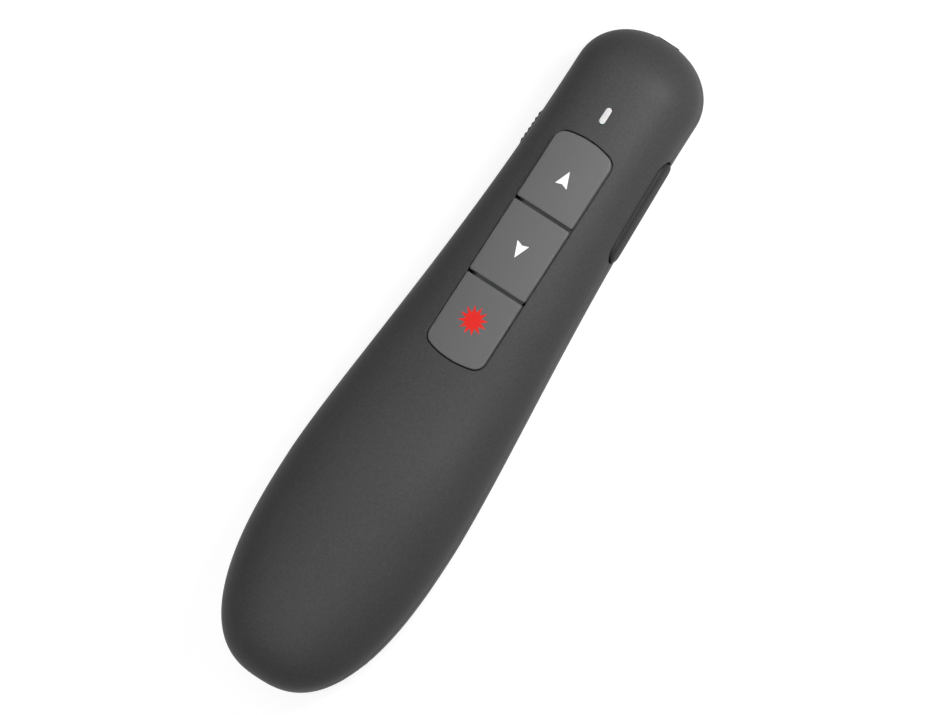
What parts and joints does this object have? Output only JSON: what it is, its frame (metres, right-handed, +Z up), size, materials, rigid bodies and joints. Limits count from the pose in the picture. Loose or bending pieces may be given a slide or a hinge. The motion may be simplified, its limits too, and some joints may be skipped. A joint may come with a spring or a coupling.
{
  "type": "wireless presentation clicker",
  "caption": "Hand-held wireless slide remote with press keys, laser, side rocker, power slider, battery cover and docked receiver.",
  "frame": {"origin": "on the desk, under the middle of the body: centre of the bounding box, at its lowest face", "axes": "+Y along the handle towards the laser end, +X the right hand side, +Z up out of the key face"},
  "size_m": [0.0326, 0.127, 0.0228],
  "materials": {
    "shell_plastic": "soft-touch matt, fine grain",
    "key_plastic": "matt grey",
    "control_plastic": "matt dark",
    "inner_plastic": "moulded black",
    "light_plastic": "milky translucent",
    "board": "green solder mask",
    "chip_plastic": "moulded black",
    "button_plastic": "moulded pale",
    "plated_steel": "nickel plated",
    "brass": "turned",
    "clear_lens": "clear",
    "window_glass": "dark red tint",
    "gloss_trim": "gloss black",
    "cell_can": "plain printed sleeve",
    "screw_steel": "black oxide"
  },
  "bodies": {
    "housing": {"upper_shell": "shell_plastic", "lower_shell": "shell_plastic", "battery_tray": "inner_plastic", "switch_forward": "chip_plastic", "switch_back": "chip_plastic", "switch_laser": "chip_plastic", "circuit_board": "board", "controller_chip": "chip_plastic", "radio_chip": "chip_plastic", "crystal": "plated_steel", "status_led": "light_plastic", "light_pipe": "light_plastic", "power_switch": "plated_steel", "rocker_pin": "plated_steel", "rocker_bracket": "button_plastic", "rocker_switches": "chip_plastic", "laser_barrel": "brass", "laser_lens": "clear_lens", "laser_board": "board", "laser_window": "window_glass", "nose_ring": "gloss_trim", "cell_left": "cell_can", "cell_right": "cell_can", "tail_contact": "plated_steel", "spring_left": "plated_steel", "spring_right": "plated_steel", "contact_left": "plated_steel", "contact_right": "plated_steel", "case_screws": "screw_steel"},
    "forward": {"key_forward": "key_plastic", "button_forward": "button_plastic"},
    "back": {"key_back": "key_plastic", "button_back": "button_plastic"},
    "laser": {"key_laser": "key_plastic", "button_laser": "button_plastic"},
    "power": {"power_slider": "control_plastic", "power_lever": "button_plastic"},
    "rocker": {"side_rocker": "control_plastic"},
    "cover": {"battery_cover": "shell_plastic"},
    "receiver": {"receiver_grip": "gloss_trim", "receiver_plug": "plated_steel", "receiver_tongue": "inner_plastic"}
  },
  "joints": [
    {"name": "forward_press", "type": "slide", "parent": "housing", "child": "forward", "axis": [0, 0, -1], "range_m": [0, 0.0004], "stiffness_N_per_m": 1500, "springref_m": -0.0004},
    {"name": "back_press", "type": "slide", "parent": "housing", "child": "back", "axis": [0, 0, -1], "range_m": [0, 0.0004], "stiffness_N_per_m": 1500, "springref_m": -0.0004},
    {"name": "laser_press", "type": "slide", "parent": "housing", "child": "laser", "axis": [0, 0, -1], "range_m": [0, 0.0004], "stiffness_N_per_m": 1500, "springref_m": -0.0004},
    {"name": "power_slide", "type": "slide", "parent": "housing", "child": "power", "axis": [0, 1, 0], "range_m": [0, 0.0025]},
    {"name": "rocker_tilt", "type": "hinge", "parent": "housing", "child": "rocker", "pos_m": [0.00752, 0.0368, 0.0106], "axis": [0, 0, 1], "range_deg": [-2, 2], "stiffness_Nm_per_rad": 0.05},
    {"name": "cover_slide", "type": "slide", "parent": "housing", "child": "cover", "axis": [0, -1, 0], "range_m": [0, 0.066]},
    {"name": "receiver_lift", "type": "slide", "parent": "housing", "child": "receiver", "axis": [0, 0, -1], "range_m": [0, 0.02]}
  ]
}
